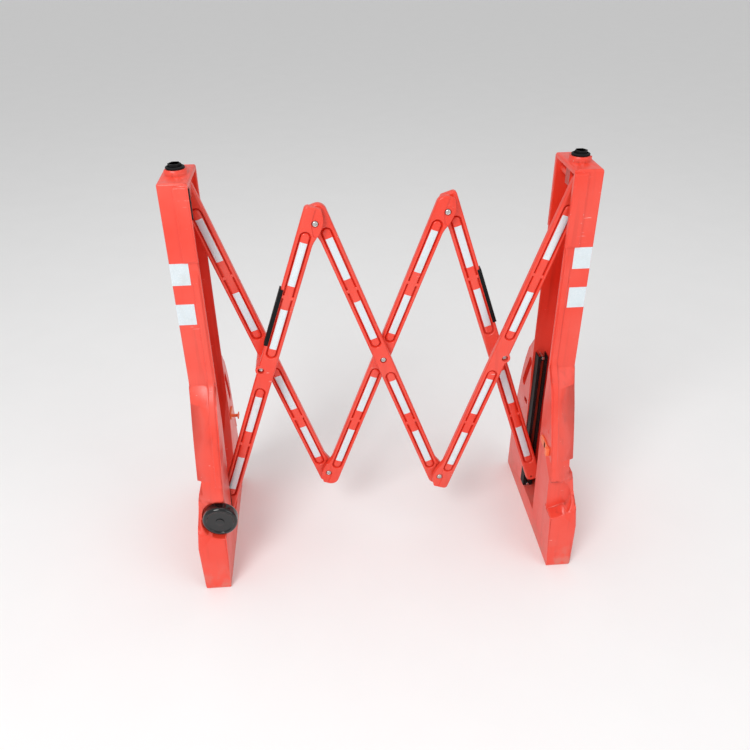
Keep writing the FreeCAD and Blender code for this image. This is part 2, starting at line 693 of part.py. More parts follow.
def axle_hole():
    """Hole of the axle in the recess wall."""
    return rod(wheel_x(), WHEEL_Z, -RECESS_BACK - 1, -RECESS_BACK + WALL + 1, AXLE_RADIUS)


def latch(y, hooked):
    """Orange tab on the inner face of a leg with a shaft through its wall; one has a T-hook."""
    face = latch_face()
    outer = face - LATCH_GAP
    near = outer - LATCH_THICKNESS
    toward = math.copysign(1, y)
    disc = Part.makeCylinder(LATCH_RADIUS, LATCH_THICKNESS, Vec(near, y, LATCH_Z), X_AXIS)
    tab = box(near, outer, y, y + toward * LATCH_REACH, LATCH_Z - LATCH_RADIUS, LATCH_Z + LATCH_RADIUS)
    inside = face + WALL + COLLAR_THICKNESS + 1
    stud = Part.makeCylinder(STUD_RADIUS, inside - near, Vec(near, y, LATCH_Z), X_AXIS)
    shapes = [tab, stud]
    if hooked:
        tip = face - HOOK_REACH
        shapes.append(Part.makeCylinder(STUD_RADIUS, near - tip, Vec(tip, y, LATCH_Z), X_AXIS))
        half = HOOK_LENGTH / 2
        low, high = LATCH_Z - STUD_RADIUS, LATCH_Z + STUD_RADIUS
        bar = box(tip, tip + HOOK_THICKNESS, y - half, y + half, low, high)
        shapes.append(bar)
    return disc.fuse(shapes).removeSplitter()


def latch_collar(y):
    """Black collar on a latch's shaft inside the leg."""
    start = latch_face() + WALL + LATCH_GAP
    centre = Vec(start, y, LATCH_Z)
    ring = Part.makeCylinder(COLLAR_RADIUS, COLLAR_THICKNESS, centre, X_AXIS)
    return ring.cut(Part.makeCylinder(STUD_RADIUS, COLLAR_THICKNESS, centre, X_AXIS))


# ---------------------------------------------------------------- whole object
def build_bars():
    """Bars with their reflective and edge strips."""
    for bar in END_BARS:
        save("bar_" + bar.place, bar.put(end_bar(bar)))
        save("strips_" + bar.place, bar_strips(bar, HUB_SHIFT, True))
    for bar in MIDDLE_BARS:
        save("bar_" + bar.place, bar.put(middle_bar(bar)))
        save("strips_" + bar.place, bar_strips(bar, 0, False))
    for bar in (FRONT_LEFT, BACK_RIGHT):
        save("edge_strip_" + bar.place, edge_strip(bar))


def build_joints():
    """Bolts, nuts and washers, each set with the bar that carries it."""
    half = HUB_PITCH / 2
    high, low = HUB_Z + JOINT_RISE, HUB_Z - JOINT_RISE
    sets = {
        "front_left": [lattice_joint(FRONT_LEFT, -half, high, HEAD_SINK), hub_joint(-HUB_PITCH)],
        "front_right": [lattice_joint(FRONT_RIGHT, half, low, HEAD_SINK), hub_joint(HUB_PITCH)],
        "front_middle": [lattice_joint(FRONT_MIDDLE, 0, HUB_Z, HEAD_SINK)],
        "back_middle": [
            lattice_joint(BACK_MIDDLE, half, high, HEAD_SINK),
            lattice_joint(BACK_MIDDLE, -half, low, HEAD_SINK),
        ],
    }
    for place, joints in sets.items():
        save("bolts_" + place, solids_of([shape for bolts, rings in joints for shape in bolts]))
        save("washers_" + place, solids_of([shape for bolts, rings in joints for shape in rings]))


def build_posts():
    """Posts with what is fixed in them and on them."""
    places = {
        "left": (BACK_LEFT, FRONT_LEFT, -1, FRONT_LEFT.front),
        "right": (FRONT_RIGHT, BACK_RIGHT, 1, BACK_RIGHT.back),
    }
    for side, (hinged, guided, toward, face) in places.items():
        flange = toward * CHANNEL_HALF
        pin = slide_pin(guided, PIVOT_X, slide_height(OPEN_ANGLE), toward)
        save("post_" + side, on_side(post(side), side))
        save("bands_" + side, on_side(solids_of(bands()), side))
        save("hinge_plate_" + side, on_side(hinge_plate(), side))
        save("hinge_bolt_" + side, on_side(hinge_bolt(), side))
        save("hinge_sleeves_" + side, on_side(solids_of(hinge_sleeves(hinged)), side))
        save("guide_rail_" + side, on_side(guide_rail(face, flange), side))
        save("rail_screws_" + side, on_side(solids_of(rail_screws(face, flange)), side))
        save("slide_pin_" + side, on_side(pin, side))
        save("cap_" + side, on_side(cap(), side))


def build_wheel_and_latches():
    """Wheel of the left post and the latch of each post."""
    save("wheel", on_side(wheel(), "left"))
    save("wheel_axle", on_side(axle(), "left"))
    for side, y in (("left", LATCH_Y), ("right", -LATCH_Y)):
        save("latch_" + side, on_side(latch(y, side == "left"), side))
        save("latch_collar_" + side, on_side(latch_collar(y), side))


os.makedirs("parts", exist_ok=True)
build_bars()
build_joints()
build_posts()
build_wheel_and_latches()
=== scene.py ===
"""Looks of an expanding lattice barricade: moulded bars and posts, reflective strips, wheel and fittings."""

import json
import math

import bmesh
import bpy
from bpy.props import FloatProperty, FloatVectorProperty, PointerProperty
from mathutils import Matrix, Vector


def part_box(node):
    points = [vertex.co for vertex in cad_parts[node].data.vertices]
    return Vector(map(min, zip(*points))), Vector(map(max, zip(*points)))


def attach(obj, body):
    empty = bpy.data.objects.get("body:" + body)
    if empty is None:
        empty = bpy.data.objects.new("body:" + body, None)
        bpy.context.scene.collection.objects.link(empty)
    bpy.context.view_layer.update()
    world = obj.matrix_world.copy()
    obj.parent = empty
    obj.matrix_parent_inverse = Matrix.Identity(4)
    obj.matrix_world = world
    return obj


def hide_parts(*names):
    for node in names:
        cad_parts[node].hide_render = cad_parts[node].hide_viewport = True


bl_info = {
    "name": "Expanding lattice barricade",
    "version": (1, 0, 0),
    "blender": (4, 5, 0),
    "location": "3D View > Sidebar > Barricade",
    "description": "Builds the bars, posts, fittings and stage of an expanding lattice barricade",
    "category": "Object",
}

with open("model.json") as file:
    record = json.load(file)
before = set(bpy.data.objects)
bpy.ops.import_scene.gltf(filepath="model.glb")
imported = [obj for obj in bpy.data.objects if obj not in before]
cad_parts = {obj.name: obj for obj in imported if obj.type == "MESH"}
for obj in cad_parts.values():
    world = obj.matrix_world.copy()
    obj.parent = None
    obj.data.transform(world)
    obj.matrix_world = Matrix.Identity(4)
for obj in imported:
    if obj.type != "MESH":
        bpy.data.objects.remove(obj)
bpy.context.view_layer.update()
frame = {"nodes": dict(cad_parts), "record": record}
JOINTS = {joint["name"]: joint for joint in frame["record"]["behaviour"]["joints"]}
SIDES = (("left", -1), ("right", 1))


# ---------------------------------------------------------------- settings
class BarSettings(bpy.types.PropertyGroup):
    """Sizes of the moulded bars"""

    width: FloatProperty(name="Width", description="Width of a bar", default=0.038, unit="LENGTH")
    hub_shift: FloatProperty(name="Hub shift", description="Hub off the centre line",
                             default=0.012, unit="LENGTH")
    end_shift: FloatProperty(name="End shift", description="End pivot off the centre line",
                             default=0.0115, unit="LENGTH")
    post_shift: FloatProperty(name="Post shift", description="Post pivot off the centre line",
                              default=0.006, unit="LENGTH")
    inner_tip: FloatProperty(name="Inner tip", description="Bar beyond an inner pivot",
                             default=0.032, unit="LENGTH")
    outer_tip: FloatProperty(name="Outer tip", description="Bar beyond a post pivot",
                             default=0.013, unit="LENGTH")
    ear: FloatProperty(name="Ear", description="Ear beside an inner pivot", default=0.0158, unit="LENGTH")
    rim_round: FloatProperty(name="Rim rounding", description="Rounding of the rims",
                             default=0.0046, unit="LENGTH")
    inner_start: FloatProperty(name="Inner strip start", description="First strip from the hub",
                               default=0.061)
    inner_gap: FloatProperty(name="Inner strip gap", description="Between the strips", default=0.0575)
    outer_start: FloatProperty(name="Outer strip start", description="First strip from the hub",
                               default=0.070)
    outer_gap: FloatProperty(name="Outer strip gap", description="Between the strips", default=0.079)
    strip: FloatProperty(name="Strip length", description="Length of a reflective strip", default=0.100)
    strip_width: FloatProperty(name="Strip width", description="Width of a reflective strip", default=0.0155)
    margin: FloatProperty(name="Pocket margin", description="Pocket beyond the outer strips", default=0.026)


class FinishSettings(bpy.types.PropertyGroup):
    """Colours of the finishes"""

    red: FloatVectorProperty(name="Red", description="Red-orange plastic", subtype="COLOR", size=3,
                             default=(0.83, 0.045, 0.020))
    white: FloatVectorProperty(name="White", description="Reflective sheeting", subtype="COLOR", size=3,
                               default=(0.66, 0.74, 0.78))
    black: FloatVectorProperty(name="Black", description="Black fittings", subtype="COLOR", size=3,
                               default=(0.0055, 0.006, 0.0068))
    orange: FloatVectorProperty(name="Orange", description="Orange latches", subtype="COLOR", size=3,
                                default=(0.95, 0.17, 0.04))
    steel: FloatVectorProperty(name="Steel", description="Zinc-plated steel", subtype="COLOR", size=3,
                               default=(0.60, 0.60, 0.59))


class StageSettings(bpy.types.PropertyGroup):
    """Camera and floor"""

    camera_place: FloatVectorProperty(name="Camera", description="Place", subtype="XYZ", size=3,
                                      default=(-0.1276, -1.4892, 1.3841))
    pan: FloatProperty(name="Pan", description="Turn to the right", subtype="ANGLE",
                       default=math.radians(4.227))
    tilt: FloatProperty(name="Tilt", description="Look down", subtype="ANGLE", default=math.radians(31.99))
    roll: FloatProperty(name="Roll", description="Roll", subtype="ANGLE", default=math.radians(-0.675))
    lens: FloatProperty(name="Lens", description="Focal length in mm", default=36.0)
    floor: FloatProperty(name="Floor", description="Size of the floor", default=60.0, unit="LENGTH")


# ---------------------------------------------------------------- node helpers
def add_node(tree, kind, **values):
    """Node with attributes and unlinked inputs set by name."""
    node = tree.nodes.new(kind)
    for key, value in values.items():
        if hasattr(node, key):
            setattr(node, key, value)
        else:
            node.inputs[key.replace("_", " ")].default_value = value
    return node


def math_node(tree, operation, first, second):
    """Math node whose operands are sockets or numbers."""
    node = tree.nodes.new("ShaderNodeMath")
    node.operation = operation
    for socket, value in zip(node.inputs, (first, second)):
        if isinstance(value, (int, float)):
            socket.default_value = value
        else:
            tree.links.new(value, socket)
    return node.outputs[0]


def ramp(tree, source, low, high):
    """Smooth mask from low to high."""
    node = tree.nodes.new("ShaderNodeMapRange")
    node.interpolation_type = "SMOOTHSTEP"
    node.inputs["From Min"].default_value = low
    node.inputs["From Max"].default_value = high
    tree.links.new(source, node.inputs["Value"])
    return node.outputs["Result"]


def noise(tree, coordinates, scale, detail=3.0, stretch=None):
    """Noise on coordinates, stretched if asked."""
    node = add_node(tree, "ShaderNodeTexNoise", Scale=scale, Detail=detail)
    if stretch:
        mapping = add_node(tree, "ShaderNodeMapping", Scale=stretch)
        tree.links.new(coordinates, mapping.inputs["Vector"])
        coordinates = mapping.outputs["Vector"]
    tree.links.new(coordinates, node.inputs["Vector"])
    return node.outputs["Fac"]


def mix_colour(tree, factor, first, second, blend="MIX"):
    """Colour mix of sockets or colours."""
    node = tree.nodes.new("ShaderNodeMix")
    node.data_type = "RGBA"
    node.blend_type = blend
    ends = (node.inputs[0], factor), (node.inputs[6], first), (node.inputs[7], second)
    for socket, value in ends:
        if isinstance(value, bpy.types.NodeSocket):
            tree.links.new(value, socket)
        else:
            socket.default_value = value
    return node.outputs[2]


def new_group(name, inputs, outputs):
    """Empty node group with named float or colour sockets."""
    group = bpy.data.node_groups.new(name, "ShaderNodeTree")
    for label, kind, value in inputs:
        socket = group.interface.new_socket(name=label, in_out="INPUT", socket_type=kind)
        socket.default_value = value
    for label, kind in outputs:
        group.interface.new_socket(name=label, in_out="OUTPUT", socket_type=kind)
    return group, group.nodes.new("NodeGroupInput"), group.nodes.new("NodeGroupOutput")


# ---------------------------------------------------------------- shared effects
SKIN_OUTPUTS = (
    ("Color", "NodeSocketColor"), ("Roughness", "NodeSocketFloat"), ("Height", "NodeSocketFloat"),
)


def moulded_skin():
    """Skin of moulded plastic: faded patches, fine orange peel, light scuffs and dust low down."""
    number, colour = "NodeSocketFloat", "NodeSocketColor"
    ins = [("Color", colour, (0.8, 0.1, 0.05, 1)), ("Fade", number, 0.2), ("Scuffs", number, 0.3),
           ("Roughness", number, 0.35), ("Dust", number, 0.15)]
    group, given, out = new_group("moulded_skin", ins, SKIN_OUTPUTS)
    place = group.nodes.new("ShaderNodeTexCoord").outputs["Object"]
    patches = noise(group, place, 5.0, 4.0)
    blotches = noise(group, place, 38.0, 5.0)
    peel = noise(group, place, 420.0, 2.0)
    grit = noise(group, place, 1500.0, 2.0)
    streaks = noise(group, place, 60.0, 6.0, (1.0, 1.0, 0.06))
    scratch = noise(group, place, 240.0, 8.0, (0.12, 1.0, 1.0))
    scratch_mask = ramp(group, scratch, 0.66, 0.72)
    bite = ramp(group, blotches, 0.5, 0.62)
    bitten = math_node(group, "MULTIPLY", bite, given.outputs["Scuffs"])
    scuffs = math_node(group, "MULTIPLY", scratch_mask, bitten)
    faded = mix_colour(group, 0.5, given.outputs["Color"], (1.0, 0.62, 0.52, 1))
    fade = math_node(group, "MULTIPLY", ramp(group, patches, 0.35, 0.75), given.outputs["Fade"])
    tone = mix_colour(group, fade, given.outputs["Color"], faded)
    streak_mask = math_node(group, "MULTIPLY", ramp(group, streaks, 0.5, 0.8), 0.30)
    deep = mix_colour(group, streak_mask, tone, (0.45, 0.30, 0.28, 1), "MULTIPLY")
    worn = mix_colour(group, scuffs, deep, (0.95, 0.72, 0.66, 1))
    split = group.nodes.new("ShaderNodeSeparateXYZ")
    group.links.new(place, split.inputs[0])
    low = ramp(group, split.outputs["Z"], 0.10, -0.02)
    dust_spots = ramp(group, blotches, 0.38, 0.66)
    dust = math_node(group, "MULTIPLY", math_node(group, "MULTIPLY", low, dust_spots), given.outputs["Dust"])
    dusty = mix_colour(group, dust, worn, (0.42, 0.36, 0.30, 1))
    group.links.new(dusty, out.inputs["Color"])
    uneven = math_node(group, "MULTIPLY", math_node(group, "SUBTRACT", blotches, 0.5), 0.22)
    rough = math_node(group, "ADD", given.outputs["Roughness"], uneven)
    rough = math_node(group, "ADD", rough, math_node(group, "MULTIPLY", dust, 0.4))
    rough = math_node(group, "ADD", rough, math_node(group, "MULTIPLY", scuffs, 0.3))
    group.links.new(rough, out.inputs["Roughness"])
    fine = math_node(group, "MULTIPLY", grit, 0.16)
    height = math_node(group, "ADD", math_node(group, "MULTIPLY", peel, 0.7), fine)
    height = math_node(group, "ADD", height, math_node(group, "MULTIPLY", blotches, 0.9))
    height = math_node(group, "SUBTRACT", height, math_node(group, "MULTIPLY", scuffs, 0.5))
    group.links.new(height, out.inputs["Height"])
    return group


def metal_skin():
    """Skin of plated or coated steel: cloudy plating, fine turning marks and darker stains."""
    number, colour = "NodeSocketFloat", "NodeSocketColor"
    ins = [("Color", colour, (0.6, 0.6, 0.6, 1)), ("Stain", number, 0.3), ("Roughness", number, 0.3)]
    group, given, out = new_group("metal_skin", ins, SKIN_OUTPUTS)
    place = group.nodes.new("ShaderNodeTexCoord").outputs["Object"]
    clouds = noise(group, place, 180.0, 4.0)
    specks = noise(group, place, 900.0, 3.0)
    marks = noise(group, place, 700.0, 4.0, (1.0, 0.05, 1.0))
    stain = math_node(group, "MULTIPLY", ramp(group, clouds, 0.45, 0.7), given.outputs["Stain"])
    dark = mix_colour(group, 0.7, given.outputs["Color"], (0.10, 0.085, 0.07, 1))
    group.links.new(mix_colour(group, stain, given.outputs["Color"], dark), out.inputs["Color"])
    rough = math_node(group, "ADD", given.outputs["Roughness"], math_node(group, "MULTIPLY", specks, 0.22))
    rough = math_node(group, "ADD", rough, math_node(group, "MULTIPLY", stain, 0.3))
    group.links.new(rough, out.inputs["Roughness"])
    fine = math_node(group, "MULTIPLY", specks, 0.4)
    height = math_node(group, "ADD", math_node(group, "MULTIPLY", marks, 0.6), fine)
    group.links.new(height, out.inputs["Height"])
    return group


def sheeting_skin():
    """Reflective sheeting: fine hexagonal cells with raised seams, darker specks and slight yellowing."""
    number, colour = "NodeSocketFloat", "NodeSocketColor"
    ins = [("Color", colour, (0.7, 0.75, 0.8, 1)), ("Roughness", number, 0.25)]
    group, given, out = new_group("sheeting_skin", ins, SKIN_OUTPUTS)
    place = group.nodes.new("ShaderNodeTexCoord").outputs["Object"]
    cells = add_node(group, "ShaderNodeTexVoronoi", feature="DISTANCE_TO_EDGE", Scale=420.0, Randomness=0.25)
    group.links.new(place, cells.inputs["Vector"])
    beads = noise(group, place, 1400.0, 2.0)
    soil = noise(group, place, 30.0, 5.0)
    seam = ramp(group, cells.outputs["Distance"], 0.10, 0.02)
    seam_mask = math_node(group, "MULTIPLY", seam, 0.34)
    bead_mask = math_node(group, "MULTIPLY", ramp(group, beads, 0.45, 0.75), 0.28)
    soil_mask = math_node(group, "MULTIPLY", ramp(group, soil, 0.52, 0.8), 0.22)
    seams = mix_colour(group, seam_mask, given.outputs["Color"], (0.98, 0.99, 1.0, 1))
    beaded = mix_colour(group, bead_mask, seams, (0.36, 0.42, 0.47, 1))
    soiled = mix_colour(group, soil_mask, beaded, (0.45, 0.42, 0.36, 1))
    group.links.new(soiled, out.inputs["Color"])
    rough = math_node(group, "ADD", given.outputs["Roughness"], math_node(group, "MULTIPLY", soil, 0.2))
    group.links.new(rough, out.inputs["Roughness"])
    height = math_node(group, "ADD", seam, math_node(group, "MULTIPLY", beads, 0.2))
    group.links.new(height, out.inputs["Height"])
    return group


# ---------------------------------------------------------------- finishes
def finish_material(name, skin, values, bump, **shader):
    """Material that places a skin group before its own shader."""
    plain = bpy.data.materials.get(name)
    if plain:
        plain.name = "cad_" + name
    material = bpy.data.materials.new(name)
    material.use_nodes = True
    tree = material.node_tree
    principled = tree.nodes["Principled BSDF"]
    group = tree.nodes.new("ShaderNodeGroup")
    group.node_tree = bpy.data.node_groups[skin]
    for label, value in values.items():
        group.inputs[label].default_value = value
    for label, value in shader.items():
        principled.inputs[label.replace("_", " ")].default_value = value
    tree.links.new(group.outputs["Color"], principled.inputs["Base Color"])
    tree.links.new(group.outputs["Roughness"], principled.inputs["Roughness"])
    height = add_node(tree, "ShaderNodeBump", Strength=bump, Distance=0.0006)
    tree.links.new(group.outputs["Height"], height.inputs["Height"])
    tree.links.new(height.outputs["Normal"], principled.inputs["Normal"])
    return material


def rgba(colour):
    """Colour property as red, green, blue and alpha."""
    return (*colour, 1.0)


def make_finishes(scene):
    """All finishes of the barricade by material slot."""
    colours = scene.barricade_finish
    moulded_skin()
    metal_skin()
    sheeting_skin()
    red = {"Color": rgba(colours.red), "Fade": 0.16, "Scuffs": 0.5, "Roughness": 0.34, "Dust": 0.35}
    black = {"Color": rgba(colours.black), "Fade": 0.0, "Scuffs": 0.06, "Roughness": 0.52, "Dust": 0.12}
    wheel = {"Color": rgba(colours.black), "Fade": 0.0, "Scuffs": 0.05, "Roughness": 0.15, "Dust": 0.03}
    orange = {"Color": rgba(colours.orange), "Fade": 0.2, "Scuffs": 0.3, "Roughness": 0.36, "Dust": 0.1}
    finish_material("red_plastic", "moulded_skin", red, 0.35, IOR=1.5, Coat_Weight=0.12, Coat_Roughness=0.22)
    finish_material("black_plastic", "moulded_skin", black, 0.4, IOR=1.38, Specular_IOR_Level=0.25)
    finish_material("wheel_black", "moulded_skin", wheel, 0.12, IOR=1.45, Specular_IOR_Level=0.4,
                    Coat_Weight=0.5, Coat_Roughness=0.05)
    finish_material("orange_plastic", "moulded_skin", orange, 0.3, IOR=1.5, Coat_Weight=0.1,
                    Coat_Roughness=0.2)
    sheeting = {"Color": rgba(colours.white), "Roughness": 0.26}
    finish_material("white_sheeting", "sheeting_skin", sheeting, 0.25, IOR=1.5, Coat_Weight=0.3,
                    Coat_Roughness=0.15)
    zinc = {"Color": rgba(colours.steel), "Stain": 0.35, "Roughness": 0.24}
    coated = {"Color": (0.006, 0.006, 0.007, 1), "Stain": 0.2, "Roughness": 0.42}
    finish_material("zinc_steel", "metal_skin", zinc, 0.3, Metallic=1.0)
    finish_material("black_steel", "metal_skin", coated, 0.25, IOR=1.4, Specular_IOR_Level=0.25)


# ---------------------------------------------------------------- mesh helpers
def new_piece(name, mesh, body, slot, nodes=(), angle=35.0):
    """Object for a finished mesh, riding on its body in the place of CAD nodes."""
    mesh.materials.clear()
    mesh.materials.append(bpy.data.materials[slot])
    mesh.shade_smooth()
    mesh.set_sharp_from_angle(angle=math.radians(angle))
    mesh = modified(mesh, "WEIGHTED_NORMAL", keep_sharp=True, mode="FACE_AREA")
    mesh.name = name
    piece = bpy.data.objects.new(name, mesh)
    bpy.context.scene.collection.objects.link(piece)
    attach(piece, body)
    if nodes:
        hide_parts(*nodes)
    return piece


def to_mesh(name, bm):
    """Mesh of a bmesh with outward normals."""
    bmesh.ops.recalc_face_normals(bm, faces=bm.faces)
    mesh = bpy.data.meshes.new(name)
    bm.to_mesh(mesh)
    bm.free()
    return mesh


def bevelled(bm, edges, width, segments):
    """Round edges of a bmesh."""
    bmesh.ops.bevel(bm, geom=edges, offset=width, affect="EDGES", segments=segments, profile=0.5,
                    material=-1, clamp_overlap=True)


def plate(outline, corner, y0, y1, rim):
    """Plate from an outline of (x, z, corner share), with rounded corners and rims."""
    bm = bmesh.new()
    verts = [bm.verts.new((x, y0, z)) for x, z, share in outline]
    bm.faces.new(verts)
    for vert, (x, z, share) in zip(verts, outline):
        bmesh.ops.bevel(bm, geom=[vert], offset=corner * share, affect="VERTICES",
                        segments=8 if share > 1 else 5, profile=0.5, material=-1)
    moved = bmesh.ops.extrude_face_region(bm, geom=list(bm.faces))
    top = [item for item in moved["geom"] if isinstance(item, bmesh.types.BMVert)]
    bmesh.ops.translate(bm, verts=top, vec=(0, y1 - y0, 0))
    rims = [edge for edge in bm.edges if abs(edge.verts[0].co.y - edge.verts[1].co.y) < 1e-7]
    bevelled(bm, rims, rim, 3)
    return bm


def stadium_ring(bm, x, low, high, radius, y, count=28):
    """Loop of edges around a spine from low to high."""
    made = bmesh.ops.create_circle(bm, cap_ends=False, segments=count, radius=radius)
    turn = Matrix.Rotation(math.radians(90), 4, "X")
    bmesh.ops.rotate(bm, verts=made["verts"], cent=(0, 0, 0), matrix=turn)
    half = (high - low) / 2
    for vert in made["verts"]:
        vert.co.z += half if vert.co.z >= 0 else -half
    bmesh.ops.translate(bm, verts=made["verts"], vec=(x, y, (low + high) / 2))
    return list({edge for vert in made["verts"] for edge in vert.link_edges})


def lofted(bm, rings):
    """Closed solid through rings of edges."""
    for first, second in zip(rings, rings[1:]):
        bmesh.ops.bridge_loops(bm, edges=first + second)
    for ring in (rings[0], rings[-1]):
        bmesh.ops.contextual_create(bm, geom=ring)


def disc_solid(bm, x, z, y0, y1, radius, rim=0.0, count=40):
    """Short cylinder along Y with rounded ends."""
    turn = Matrix.Rotation(math.radians(90), 4, "X")
    place = Matrix.Translation((x, (y0 + y1) / 2, z)) @ turn
    made = bmesh.ops.create_cone(bm, cap_ends=True, segments=count, radius1=radius, radius2=radius,
                                 depth=abs(y1 - y0), matrix=place)
    if rim:
        edges = {edge for vert in made["verts"] for edge in vert.link_edges if len(edge.link_faces) == 2}
        ends = [edge for edge in edges if abs(edge.verts[0].co.y - edge.verts[1].co.y) < 1e-7]
        bevelled(bm, ends, rim, 3)
    return made["verts"]


def block(bm, low, high, rim=0.0, segments=2):
    """Box between two corners with rounded edges."""
    centre = (Vector(low) + Vector(high)) / 2
    size = Vector(high) - Vector(low)
    place = Matrix.Translation(centre) @ Matrix.Diagonal((abs(size.x), abs(size.y), abs(size.z), 1))
    made = bmesh.ops.create_cube(bm, size=1.0, matrix=place)
    if rim:
        edges = list({edge for vert in made["verts"] for edge in vert.link_edges})
        bevelled(bm, edges, rim, segments)


def boolean(mesh, other, operation):
    """Mesh after an exact boolean with another mesh."""
    target = bpy.data.objects.new("target", mesh)
    tool = bpy.data.objects.new("tool", other)
    for obj in (target, tool):
        bpy.context.scene.collection.objects.link(obj)
    modifier = target.modifiers.new("cut", "BOOLEAN")
    modifier.operation = operation
    modifier.solver = "EXACT"
    modifier.object = tool
    graph = bpy.context.evaluated_depsgraph_get()
    made = bpy.data.meshes.new_from_object(target.evaluated_get(graph))
    for obj in (target, tool):
        bpy.data.objects.remove(obj)
    bpy.data.meshes.remove(mesh)
    bpy.data.meshes.remove(other)
    return made


def joined(*meshes):
    """One bmesh of several meshes."""
    bm = bmesh.new()
    for mesh in meshes:
        bm.from_mesh(mesh)
        bpy.data.meshes.remove(mesh)
    return bm


def modified(mesh, kind, **values):
    """Mesh after one modifier."""
    source = bpy.data.objects.new("source", mesh)
    bpy.context.scene.collection.objects.link(source)
    modifier = source.modifiers.new("step", kind)
    for key, value in values.items():
        setattr(modifier, key, value)
    graph = bpy.context.evaluated_depsgraph_get()
    made = bpy.data.meshes.new_from_object(source.evaluated_get(graph))
    bpy.data.objects.remove(source)
    bpy.data.meshes.remove(mesh)
    return made


def merged_copy(node, flat=1.0):
    """Bmesh of a CAD node with its facets joined where they are flat."""
    bm = bmesh.new()
    bm.from_mesh(frame["nodes"][node].data)
    bmesh.ops.remove_doubles(bm, verts=bm.verts, dist=1e-5)
    if flat:
        bmesh.ops.dissolve_limit(bm, angle_limit=math.radians(flat), verts=bm.verts, edges=bm.edges)
    return bm


def rounded_copy(node, width, segments=3, angle=28.0):
    """Copy of a CAD node with its sharp edges rounded."""
    mesh = to_mesh(node, merged_copy(node))
    return modified(mesh, "BEVEL", width=width, segments=segments, limit_method="ANGLE",
                    angle_limit=math.radians(angle))


def ring(bm, centre, axis, along, radius, count=40, flats=0):
    """Loop of edges across an axis (1 for Y, 2 for Z), with flats if asked."""
    verts = []
    for step in range(count):
        turn = 2 * math.pi * step / count
        reach = radius
        if flats:
            part = math.pi / flats
            reach *= math.cos(part) / math.cos(turn % (2 * part) - part)
        u, v = reach * math.cos(turn), reach * math.sin(turn)
        place = (u, along, v) if axis == 1 else (u, v, along)
        base = (centre[0], 0, centre[1]) if axis == 1 else (centre[0], centre[1], 0)
        verts.append(bm.verts.new(Vector(place) + Vector(base)))
    return [bm.edges.new((first, second)) for first, second in zip(verts, verts[1:] + verts[:1])]


def turned(bm, centre, axis, profile, count=40):
    """Solid of revolution from (position along the axis, radius[, flats]) rings."""
    lofted(bm, [ring(bm, centre, axis, row[0], row[1], count, *row[2:]) for row in profile])


# ---------------------------------------------------------------- bars
class Bar:
    """Place of a bar, read from the joints: its own frame has the hub at the origin and its body along Z,
    with the middle of the barricade on the +X side and an end bar's long arm up."""

    def __init__(self, place, hub, pivot, flip_z, flip_x, shift):
        low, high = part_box("bar_" + place)
        self.place = place
        self.hub = Vector(JOINTS[hub]["pos_m"])
        reach = Vector(JOINTS[pivot]["pos_m"]) - self.hub
        self.inner = math.hypot(reach.x, reach.z)
        slope = math.degrees(math.atan2(abs(reach.z), abs(reach.x)))
        self.turn = math.radians(slope - 90) + math.asin(shift / self.inner)
        self.flips = (-1 if flip_x else 1, -1 if flip_z else 1)
        self.shift = shift
        self.low_y, self.high_y = low.y, high.y

    def matrix(self):
        """From the bar's own frame to its place."""
        flip = Matrix.Diagonal((self.flips[0], 1, self.flips[1], 1))
        spot = Matrix.Translation((self.hub.x, 0, self.hub.z))
        return spot @ flip @ Matrix.Rotation(self.turn, 4, "Y")


BOSS_Y = 0.020     # length of the spacer boss of an end bar
THICKNESS = 0.018  # thickness of a bar
BAR_CORNER = 0.006
BOSS_RADIUS = 0.0125
BOSS_RIM = 0.0018
LANE_DEPTH = 0.0028
HOLE_RADIUS = 0.00405
SEAT_RADIUS = 0.0074  # sunk seats of the bolt heads and nuts
SEAT_RIM = 0.0006
HUB_SEAT = 0.0105     # their depth at the hubs of the end bars
END_SEAT = 0.0056     # and everywhere else
POCKET = (         # radius from the middle line, depth below the face: rim, groove and rounded island
    (0.0142, -0.002), (0.0139, 0.0), (0.0130, 0.0004), (0.0123, 0.0013), (0.0119, 0.0032),
    (0.0116, 0.0068), (0.0111, 0.0078), (0.0104, 0.0081), (0.0097, 0.0077), (0.0092, 0.0064),
    (0.0089, 0.0042), (0.0086, 0.0028), (0.0079, 0.0019), (0.0064, 0.0013), (0.0046, 0.0010),
    (0.0026, 0.0009),
)


def face_y(bar_y0, bar_y1, side, depth):
    """Height of a point at a depth below the front or back face."""
    return bar_y0 + depth if side < 0 else bar_y1 - depth


def pocket_spans(settings, is_end):
    """(low, high, gap middle) of the long pocket on each arm, with signs along the bar."""
    inner_low, inner_gap = settings.inner_start, settings.inner_gap
    spans = [(-1, inner_low, inner_gap)]
    spans.append((1, settings.outer_start, settings.outer_gap) if is_end else (1, inner_low, inner_gap))
    return spans


def pocket_cutters(settings, y0, y1, centre, is_end):
    """Closed solids that cut the grooves round the islands, on both faces."""
    bm = bmesh.new()
    for sign, start, gap in pocket_spans(settings, is_end):
        first = start - settings.margin + POCKET[1][0]
        last = start + 2 * settings.strip + gap + settings.margin - POCKET[1][0]
        low, high = sorted((sign * first, sign * last))
        for side in (-1, 1):
            rings = [stadium_ring(bm, centre, low, high, radius, face_y(y0, y1, side, depth))
                     for radius, depth in POCKET]
            lofted(bm, rings)
    return to_mesh("pockets", bm)


